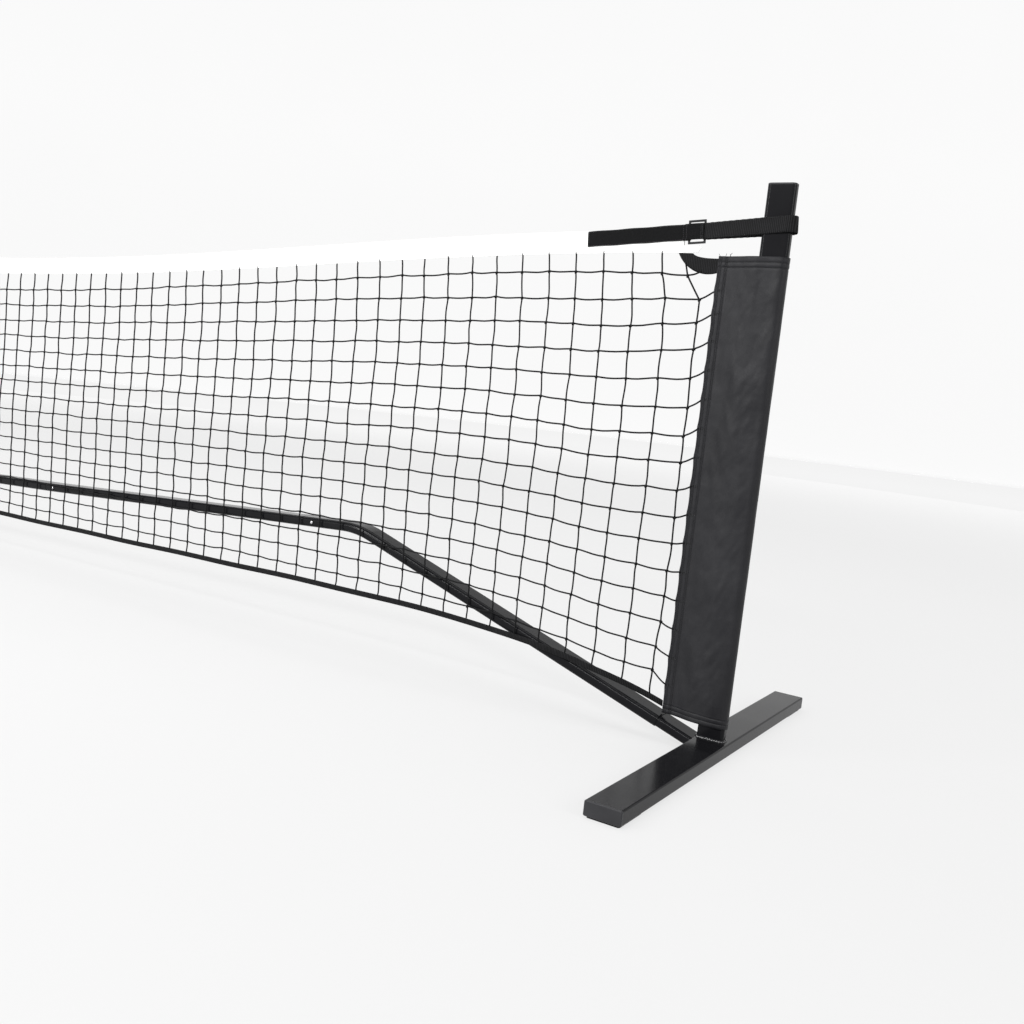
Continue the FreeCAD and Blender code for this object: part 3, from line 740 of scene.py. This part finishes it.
def middle_links(right_knots):
    """The one column of rows between the two halves' last columns."""
    verts, faces = [], []
    for r in range(ROWS):
        a = cross(right_knots[LAST_COLUMN, r])
        b = Vector((-a.x, a.y, a.z))
        tube(verts, faces, leg(a, b, r * 57 + 1, True), TWINE * 0.95)
    return verts, faces


def build_net():
    verts, faces, knots = half_net()
    right = add_piece("right_net_twine", verts, faces, LOOKS["net_twine"], "net")
    v, f = turned(verts, faces)
    more_v, more_f = middle_links(knots)
    shift = len(v)
    v = v + more_v
    f = f + [tuple(i + shift for i in q) for q in more_f]
    left = add_piece("left_net_twine", v, f, LOOKS["net_twine"], "net")
    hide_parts("net_mesh")
    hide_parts("net_mesh")
    return right, left


# ---------- tape and hem
def tape_section(x, ripple):
    """Closed section of the folded tape at x, as (y, z): round fold on top, soft lower edge."""
    run = POST_X - abs(x)
    top = tape_top(run)
    sway = ripple * 0.0010 * math.sin(x * 31.0) + ripple * 0.0006 * math.sin(x * 73.0 + 1.0)
    ring = []
    depths = (0.0012, 0.005, 0.011, 0.018, 0.025, 0.032, 0.0365, 0.0385, 0.0405, 0.042)
    halves = (0.0011, 0.0014, 0.0015, 0.0016, 0.0016, 0.0015, 0.0013, 0.0011, 0.0013, 0.0012)
    front = []
    for d, h in zip(depths, halves):
        part = d / TAPE_HEIGHT
        pucker = ripple * 0.00025 * math.sin(x * 320.0) * max(0.0, 1 - abs(d - 0.0385) / 0.008)
        front.append((sway * part ** 4, h + pucker, top - d))
    for y, h, z in front:
        ring.append((y - h, z))
    for y, h, z in reversed(front):
        ring.append((y + h, z))
    ring.append((0.0006, top - 0.0002))
    ring.append((-0.0006, top - 0.0002))
    return ring


def build_tape():
    verts, faces = [], []
    end = POST_X - TAPE_END
    count = 1500
    size = 0
    for i in range(count + 1):
        x = -end + 2 * end * i / count
        ring = tape_section(x, min(1.0, max(0.0, (end - 0.23 - abs(x)) / 0.15)))
        size = len(ring)
        verts += [(x, y, z) for y, z in ring]
    grid_faces(faces, 0, count + 1, size, wrap_columns=True)
    faces.append(tuple(reversed(range(size))))
    faces.append(tuple(range(count * size, (count + 1) * size)))
    for sx in (1, -1):
        toe = toe_mesh()
        v, f = toe if sx == 1 else turned(*toe)
        shift = len(verts)
        verts += v
        faces += [tuple(i + shift for i in q) for q in f]
    tape = add_piece("net_tape", verts, faces, LOOKS["white_tape"], "net")
    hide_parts("top_tape")
    stitches_v, stitches_f = [], []
    for y in (-1, 1):
        for depth in (0.0060, 0.0385):
            def line(t, y=y, depth=depth):
                x = -end + 2 * end * t
                run = POST_X - abs(x)
                ripple = min(1.0, max(0.0, (end - 0.23 - abs(x)) / 0.15))
                sway = ripple * (0.0010 * math.sin(x * 31.0) + 0.0006 * math.sin(x * 73.0 + 1.0))
                half = 0.00125 if depth > 0.03 else 0.0015
                return Vector((x, sway * (depth / TAPE_HEIGHT) ** 4 + y * half, tape_top(run) - depth))
            stitch_run(stitches_v, stitches_f, line, lambda t, y=y: Vector((0, y, 0)),
                       pitch=0.0062, length=0.0046, radius=0.00035)
    stitches = add_piece("net_tape_stitches", stitches_v, stitches_f, WHITE_THREAD, "net")
    return tape, stitches


def toe_mesh():
    """Lower corner of the tape that reaches on under the ring."""
    low = tape_top(TAPE_END) - TAPE_HEIGHT
    outline = [(0.1785, low), (0.152, low + 0.0008), (0.149, low + 0.002), (0.1438, 0.9150),
               (0.1446, 0.9163), (0.150, 0.9165), (0.1785, 0.9165)]
    toe_middle = 0.163
    verts = []
    for grow, y in ((0.0, -0.00125), (0.0008, -0.0006), (0.0008, 0.0006), (0.0, 0.00125)):
        for run, z in outline:
            verts.append((POST_X - run + (grow if run < toe_middle else 0.0), y, z))
    faces = []
    n = len(outline)
    grid_faces(faces, 0, 4, n, wrap_columns=True)
    faces.append(tuple(reversed(range(n))))
    faces.append(tuple(range(3 * n, 4 * n)))
    return verts, faces


def build_hem():
    """Ribbed webbing along the bottom of the mesh."""
    verts, faces = [], []
    end = POST_X - SEAM - 0.0005
    count = 2900
    size = 0
    heights = (0.0060, 0.0052, 0.0032, 0.0, -0.0032, -0.0052, -0.0060)
    halves = (0.0004, 0.0010, 0.0012, 0.0012, 0.0012, 0.0010, 0.0004)
    for i in range(count + 1):
        x = -end + 2 * end * i / count
        run = POST_X - abs(x)
        z = hem_middle(run)
        y = net_front(run, z)
        rib = 0.00022 if i % 2 else -0.00012
        wander = 0.0006 * math.sin(x * 17.0)
        ring = [(y - h - rib, z + d) for d, h in zip(heights, halves)]
        ring += [(y + h + rib, z + d) for d, h in zip(reversed(heights), reversed(halves))]
        size = len(ring)
        verts += [(x, yy, zz + wander * (1 if run > 0.2 else 0)) for yy, zz in ring]
    grid_faces(faces, 0, count + 1, size, wrap_columns=True)
    faces.append(tuple(reversed(range(size))))
    faces.append(tuple(range(count * size, (count + 1) * size)))
    hem = add_piece("net_hem", verts, faces, LOOKS["webbing"], "net")
    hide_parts("bottom_hem")


# ---------- sleeves
SLEEVE_TOP = SLEEVE_HIGH[2]
SLEEVE_BOTTOM = SLEEVE_LOW[2]
SLEEVE_HALF = 0.0135
SLEEVE_HUB = SLEEVE_HIGH[0] - POST_X - SLEEVE_HALF
SEAM_BAND = 0.020


def sleeve_base(s):
    """Half outline at s from 0, the seam's edge, to 1, the outboard nose: x from post, half y."""
    flat = SEAM - SEAM_BAND
    slope = flat - 0.030
    lengths = (SEAM_BAND, slope, 0.030 + SLEEVE_HUB, SLEEVE_HALF * math.pi / 2)
    d = s * sum(lengths)
    if d <= lengths[0]:
        return -SEAM + d, 0.0016
    d -= lengths[0]
    if d <= lengths[1]:
        t = d / lengths[1]
        smooth = t * t * (3 - 2 * t)
        return -flat + d, 0.0016 + (SLEEVE_HALF - 0.0016) * (0.45 * t + 0.55 * smooth)
    d -= lengths[1]
    if d <= lengths[2]:
        return -0.030 + d, SLEEVE_HALF
    angle = (d - lengths[2]) / SLEEVE_HALF
    return SLEEVE_HUB + SLEEVE_HALF * math.sin(angle), SLEEVE_HALF * math.cos(angle)


def sleeve_surface(s, z, side, inward=0.0):
    """Point of the sleeve's wall; side is -1 in front, 1 behind."""
    x, half = sleeve_base(s)
    eps = 0.004
    xa, ha = sleeve_base(max(0.0, s - eps))
    xb, hb = sleeve_base(min(1.0, s + eps))
    tx, ty = xb - xa, hb - ha
    size = math.hypot(tx, ty) or 1.0
    nx, ny = -ty / size, tx / size
    if s > 0.999:
        nx, ny = 1.0, 0.0
    height = (z - SLEEVE_BOTTOM) / (SLEEVE_TOP - SLEEVE_BOTTOM)
    belly = math.sin(math.pi * min(1.0, max(0.0, (s - 0.14) / 0.86))) ** 0.8
    shift = 3.1 if side > 0 else 0.0
    folds = 0.0005 * math.sin(s * 19.0 + 2.2 * math.sin(height * 5.0 + shift))
    lumps = 0.0034 * noise.noise(Vector((s * 2.4, height * 7.0 + shift, 3.0 + side)))
    lumps += 0.0022 * noise.noise(Vector((s * 4.6, height * 17.0 + s * 6.0, 8.0 + side)))
    lumps += 0.0009 * noise.noise(Vector((s * 9.0, height * 40.0 - s * 9.0, 1.0 + side)))
    ends = min(1.0, min(height, 1 - height) / 0.05)
    nose = 1.0 - 0.75 * max(0.0, (s - 0.80) / 0.20)
    push = belly * nose * (0.0014 + (folds + lumps) * (0.35 + 0.65 * ends))
    push = max(-0.0002, push)
    pull = 0.0
    for r in range(1, ROWS):
        near = (z - SEAM_HEIGHTS[r]) / 0.011
        if abs(near) < 3:
            pull += 0.0016 * math.exp(-near * near)
            tension = math.exp(-((s - 0.20) / 0.11) ** 2) * math.exp(-(near * 0.8) ** 2)
            push += 0.0009 * tension * belly
    x -= (pull - 0.0012) * max(0.0, 1 - s / 0.12)
    binding = 0.00035 if s < 0.15 else 0.0
    hem_fold = 0.0006 if min(z - SLEEVE_BOTTOM, SLEEVE_TOP - z) < 0.019 else 0.0
    groove = 0.0
    for line in SEAM_LINES:
        groove += 0.0009 * math.exp(-((s - line) / 0.0060) ** 2)
    for line in HEM_LINES:
        groove += 0.0009 * math.exp(-((z - line) / 0.0012) ** 2)
    d = push - groove - inward + (binding + hem_fold if inward == 0 else 0.0)
    sway = 0.0016 * math.sin(height * 4.2) * (1 - s)
    return Vector((POST_X + x + nx * d, (half + ny * d) * side + sway, z))


SEAM_HEIGHTS = [seam_place(r).z for r in range(ROWS)]
SEAM_LINES = (0.026, 0.050, 0.112, 0.134)
HEM_LINES = (SLEEVE_TOP - 0.0100, SLEEVE_TOP - 0.0190, SLEEVE_BOTTOM + 0.0080,
             SLEEVE_BOTTOM + 0.0165)


def build_sleeves():
    columns = 46
    rows = 300
    levels = [SLEEVE_BOTTOM + (SLEEVE_TOP - SLEEVE_BOTTOM) * i / rows for i in range(rows + 1)]
    params = [k / columns for k in range(columns + 1)]
    params += [line + d for line in SEAM_LINES for d in (-0.010, -0.005, 0.0, 0.005, 0.010)]
    params = sorted(set(params))
    levels += [line + d for line in HEM_LINES for d in (-0.0012, -0.0006, 0.0, 0.0006, 0.0012)]
    levels = sorted(set(levels))
    rows = len(levels) - 1
    verts, faces = [], []
    ring_size = 0
    for inward in (0.0, 0.0012):
        for z in levels:
            ring = [sleeve_surface(s, z, -1, inward) for s in params]
            ring += [sleeve_surface(s, z, 1, inward) for s in reversed(params[:-1])]
            ring_size = len(ring)
            if inward:
                ring = [Vector((max(p.x, POST_X - SEAM + 0.0024), p.y, p.z)) for p in ring]
            verts += [tuple(p) for p in ring]
    half = (rows + 1) * ring_size
    grid_faces(faces, 0, rows + 1, ring_size, wrap_columns=True)
    inner = []
    grid_faces(inner, half, rows + 1, ring_size, wrap_columns=True)
    faces += [tuple(reversed(q)) for q in inner]
    for row, turn in ((0, True), (rows, False)):
        for k in range(ring_size):
            a = row * ring_size + k
            b = row * ring_size + (k + 1) % ring_size
            quad = (a, b, half + b, half + a)
            faces.append(tuple(reversed(quad)) if turn else quad)
    sleeves = both_ends("post_sleeve", verts, faces, LOOKS["sleeve_cloth"], on_net,
                        "sleeve")
    stitches_v, stitches_f = [], []
    for side in (-1, 1):
        for s in SEAM_LINES:
            def down(t, s=s, side=side):
                z = SLEEVE_BOTTOM + 0.003 + (SLEEVE_TOP - SLEEVE_BOTTOM - 0.006) * t
                return sleeve_surface(s, z, side)
            stitch_run(stitches_v, stitches_f, down, lambda t, side=side: Vector((0, side, 0)),
                       pitch=0.0040, length=0.0029, radius=0.00042)
        for z in HEM_LINES:
            def across(t, z=z, side=side):
                return sleeve_surface(0.02 + 0.979 * t, z, side)

            def away(t, z=z, side=side):
                s = 0.02 + 0.979 * t
                a = sleeve_surface(max(0, s - 0.01), z, side)
                b = sleeve_surface(min(1, s + 0.01), z, side)
                d = b - a
                return Vector((-d.y, d.x, 0)).normalized() if side > 0 \
                    else Vector((d.y, -d.x, 0)).normalized()
            stitch_run(stitches_v, stitches_f, across, away, pitch=0.0036, length=0.0027,
                       radius=0.00042)
        for r in range(1, ROWS):
            for k in range(5):
                z0 = SEAM_HEIGHTS[r] + (k - 2) * 0.0011

                def bar(t, z0=z0, side=side):
                    return sleeve_surface(0.035 + 0.075 * t, z0, side)
                stitch_run(stitches_v, stitches_f, bar, lambda t, side=side: Vector((0, side, 0)),
                           pitch=0.0035, length=0.0030, radius=0.00038)
    both_ends("sleeve_stitches", stitches_v, stitches_f, BLACK_THREAD, on_net)
    return sleeves


# ---------- straps, ring and corner tab
def arc_path(hub_run, radius, start, end, steps):
    """Arc in plan round a hub on the net's centre line; angles from outboard, through the back."""
    points = []
    for i in range(steps + 1):
        angle = math.radians(start + (end - start) * i / steps)
        points.append((hub_run - radius * math.cos(angle), radius * math.sin(angle)))
    return points


def build_straps():
    thick = 0.0016
    hub_post, r_post = -0.013, 0.0145 + thick / 2
    hub_ring, r_ring = 0.141, 0.0023 + thick / 2
    lean = math.degrees(math.asin((r_post - r_ring) / (hub_ring - hub_post)))
    path = arc_path(hub_post, r_post, -90 + lean, 90 - lean, 40)
    path += arc_path(hub_ring, r_ring, 90 - lean, 270 + lean, 16)
    path.append(path[0])
    verts, faces = webbing_band(path, STRAP_WIDTH, thick)
    both_ends("post_strap", verts, faces, LOOKS["webbing"], on_net, "post_loop")
    hub = 0.171
    path = [(0.220, 0.0031), (0.1712, 0.0031)]
    path += [(hub - r_ring * math.sin(math.radians(a)), r_ring * math.cos(math.radians(a)))
             for a in range(10, 171, 10)]
    path += [(0.1712, -0.0031), (0.1776, -0.0031)]
    verts, faces = webbing_band(path, STRAP_WIDTH - 0.0004, 0.0015, seed=2.0)
    both_ends("ring_strap", verts, faces, LOOKS["webbing"], on_net, "strap_base")
    stitches_v, stitches_f = [], []
    for h in (-0.0125, 0.0125):
        def line(t, h=h):
            run = 0.134 - 0.136 * t
            half = r_ring + (r_post - r_ring) * (hub_ring - run) / (hub_ring - hub_post) + thick / 2
            return tilt_point(run, -half, STRAP_Z + h)
        stitch_run(stitches_v, stitches_f, line, lambda t: Vector((0, -1, 0)), pitch=0.0036,
                   length=0.0026, radius=0.00035)
    both_ends("post_strap_stitches", stitches_v, stitches_f, BLACK_THREAD, on_net)


def build_flap():
    """Sewn end of the hook-and-loop strap, which lies over the ring."""
    verts, faces = pile_strip(0.1413, 0.1779, -0.0054, -0.00405, STRAP_WIDTH, 6.0, 0.0004)
    both_ends("ring_flap", verts, faces, LOOKS["strap_pile"], on_net, flip=True)
    stitches_v, stitches_f = [], []
    for run in (0.1440, 0.1468, 0.1745):
        def line(t, run=run):
            return tilt_point(run, -0.00565, STRAP_Z - 0.0128 + 0.0256 * t)
        stitch_run(stitches_v, stitches_f, line, lambda t: Vector((0, -1, 0)), pitch=0.0032,
                   length=0.0024, radius=0.00036)
    both_ends("ring_flap_stitches", stitches_v, stitches_f, STRAP_THREAD, on_net)


def pile_strip(run_a, run_b, y_front, y_back, width, look_seed, fuzz):
    """Flat strip with a rough, raised face in front and woven edges."""
    verts, faces = [], []
    count = max(20, int((run_b - run_a) / 0.0010))
    across = 27
    for i in range(count + 1):
        run = run_a + (run_b - run_a) * i / count
        ring = []
        for side in (-1, 1):
            for k in range(across):
                t = (k / (across - 1) * 2 - 1) * -side
                h = t * width / 2
                rough = 0.0
                border = max(0.0, min(1.0, (0.88 - abs(t)) / 0.06))
                if side < 0:
                    p = Vector((run * 900.0, h * 900.0, look_seed))
                    rough = fuzz * (0.35 + 0.65 * noise.noise(p)) * border
                base = y_front - rough if side < 0 else y_back
                if abs(t) > 0.93:
                    base += 0.00025 * (1 if side < 0 else -1)
                sway = 0.0003 * math.sin(run * 90.0 + look_seed)
                ring.append((run, base, STRAP_Z + h + sway))
        verts += [tuple(tilt_point(*p)) for p in ring]
    size = 2 * across
    grid_faces(faces, 0, count + 1, size, wrap_columns=True)
    faces.append(tuple(reversed(range(size))))
    faces.append(tuple(range(count * size, (count + 1) * size)))
    return verts, faces


def build_tails():
    def strap_body(side):
        return side + "_strap"

    verts, faces = pile_strip(0.1781, 0.378, -0.0038, -0.0026, STRAP_WIDTH, 1.0, 0.0006)
    both_ends("strap_end", verts, faces, LOOKS["strap_pile"], strap_body,
              "strap_tail", flip=True)
    verts, faces = pile_strip(0.224, 0.374, -0.00205, -0.0013, STRAP_WIDTH - 0.009, 4.0, 0.0001)
    both_ends("hook_strip", verts, faces, LOOKS["hook_tape"], on_net, "hook_patch",
              flip=True)
    stitches_v, stitches_f = [], []
    for h in (-0.0132, 0.0132):
        def line(t, h=h):
            return tilt_point(0.181 + 0.194 * t, -0.00385, STRAP_Z + h)
        stitch_run(stitches_v, stitches_f, line, lambda t: Vector((0, -1, 0)), pitch=0.0034,
                   length=0.0025, radius=0.00036)
    for run in (0.1812, 0.3752):
        def end_line(t, run=run):
            return tilt_point(run, -0.00385, STRAP_Z - 0.0128 + 0.0256 * t)
        stitch_run(stitches_v, stitches_f, end_line, lambda t: Vector((0, -1, 0)), pitch=0.0034,
                   length=0.0025, radius=0.00036)
    both_ends("strap_end_stitches", stitches_v, stitches_f, STRAP_THREAD, strap_body)


def build_corner_tabs():
    """Curved webbing gusset from the tape's lower corner to the sleeve's top corner."""
    top = tape_top(TAPE_END) - TAPE_HEIGHT - 0.0002
    toe = HUB_RUN + math.sqrt(HUB_RADIUS ** 2 - (HUB_Z - top) ** 2)
    sleeve_top = 0.895
    count = 44
    lower = []
    for i in range(count + 1):
        run = toe + (SEAM - 0.004 - toe) * i / count
        lower.append((run, tab_edge(run)))
    upper = []
    for i in range(count + 1):
        t = i / count
        a, b, c = (0.158, top), (0.1500, sleeve_top - 0.0015), (SEAM - 0.004, sleeve_top)
        u = max(0.0, (t - 0.15) / 0.85)
        if t < 0.15:
            upper.append((toe + (a[0] - toe) * t / 0.15, top))
        else:
            upper.append(((1 - u) ** 2 * a[0] + 2 * u * (1 - u) * b[0] + u * u * c[0],
                          (1 - u) ** 2 * a[1] + 2 * u * (1 - u) * b[1] + u * u * c[1]))
    across = 13
    verts, faces = [], []
    for i, ((r0, z0), (r1, z1)) in enumerate(zip(lower, upper)):
        for side in (-1, 1):
            for k in range(across):
                t = k / (across - 1)
                if side > 0:
                    t = 1 - t
                edge = max(0.0, abs(2 * t - 1) - 0.8) / 0.2
                half = 0.0009 * (1 - 0.6 * edge ** 2) + (0.00012 if i % 2 else 0.0)
                curl = 0.0012 * math.sin(math.pi * i / count) * (2 * t - 1)
                verts.append((POST_X - (r0 + (r1 - r0) * t), side * half - curl,
                              z0 + (z1 - z0) * t))
    size = 2 * across
    grid_faces(faces, 0, count + 1, size, wrap_columns=True)
    faces.append(tuple(reversed(range(size))))
    faces.append(tuple(range(count * size, (count + 1) * size)))
    both_ends("corner_gusset", verts, faces, LOOKS["webbing"], on_net, "corner_tab",
              flip=True)


def build_loose_threads():
    """Cut thread ends at the top of the seam, as sewing leaves them."""
    verts, faces = [], []
    for i, (dx, lean, height) in enumerate(((-0.105, -0.6, 0.005), (-0.094, 0.3, 0.006),
                                            (-0.086, 0.9, 0.007), (-0.085, -0.2, 0.005))):
        base = Vector((POST_X + dx, -0.0024, SLEEVE_TOP - 0.001))
        points = []
        for k in range(6):
            t = k / 5
            points.append(base + Vector((lean * 0.004 * t * t, -0.0006 * t, height * t)))
        tube(verts, faces, points, 0.0004, 5, True)
    both_ends("sleeve_loose_threads", verts, faces, BLACK_THREAD, on_net)


# ---------- put it together
beads_v, beads_f = weld_beads()
both_ends("weld_ripples", beads_v, beads_f, LOOKS["weld_metal"], lambda side: "frame",
          "weld_beads")
right_net, left_net = build_net()
tape, tape_stitches = build_tape()
build_hem()
sleeves = build_sleeves()
build_straps()
build_tails()
build_flap()
build_corner_tabs()
build_loose_threads()


# ---------- studio
def build_stage():
    """Round pale floor that curves up into a wall on every side."""
    verts, faces = [(0.0, 0.0, 0.0)], []
    radius, back, wall_top, sides = 6.0, 22.0, 13.0, 96
    profile = [(back - radius, 0.0)]
    for i in range(1, 17):
        angle = math.pi / 2 * i / 16
        profile.append((back - radius + radius * math.sin(angle), radius - radius * math.cos(angle)))
    profile.append((back, wall_top))
    for out, z in profile:
        for k in range(sides):
            angle = 2 * math.pi * k / sides
            verts.append((out * math.cos(angle), out * math.sin(angle), z))
    for k in range(sides):
        faces.append((0, 1 + k, 1 + (k + 1) % sides))
    grid_faces(faces, 1, len(profile), sides, wrap_columns=True)
    mesh = bpy.data.meshes.new("studio")
    mesh.from_pydata(verts, [], faces)
    mesh.polygons.foreach_set("use_smooth", [True] * len(mesh.polygons))
    obj = bpy.data.objects.new("studio", mesh)
    mesh.materials.append(floor_material())
    bpy.context.scene.collection.objects.link(obj)


def area_light(name, place, target, size, power, size_y=None):
    data = bpy.data.lights.new(name, "AREA")
    data.energy = power
    data.size = size
    if size_y:
        data.shape = "RECTANGLE"
        data.size_y = size_y
    obj = bpy.data.objects.new(name, data)
    bpy.context.scene.collection.objects.link(obj)
    obj.location = place
    ahead = Vector(target) - Vector(place)
    obj.rotation_euler = ahead.to_track_quat("-Z", "Y").to_euler()


def build_light():
    world = bpy.data.worlds.new("studio_world")
    world.use_nodes = True
    background = world.node_tree.nodes["Background"]
    background.inputs["Color"].default_value = (1.0, 1.0, 1.0, 1.0)
    background.inputs["Strength"].default_value = 0.16
    bpy.context.scene.world = world
    area_light("top", (0.0, 0.6, 6.5), (0.0, 0.0, 0.0), 10.0, 380.0, 5.0)
    area_light("left_strip", (POST_X - 3.2, -3.4, 1.6), (POST_X, 0, 0.6), 0.20, 60.0, 2.6)
    area_light("right_strip", (POST_X + 4.5, -1.0, 2.6), (POST_X, 0, 0.1), 1.2, 60.0, 2.0)
    area_light("front_strip", (POST_X - 1.4, -4.0, 3.2), (POST_X - 0.9, 0, 0.2), 5.0, 215.0, 0.45)


build_stage()
build_light()
bpy.context.scene.view_settings.view_transform = "Standard"
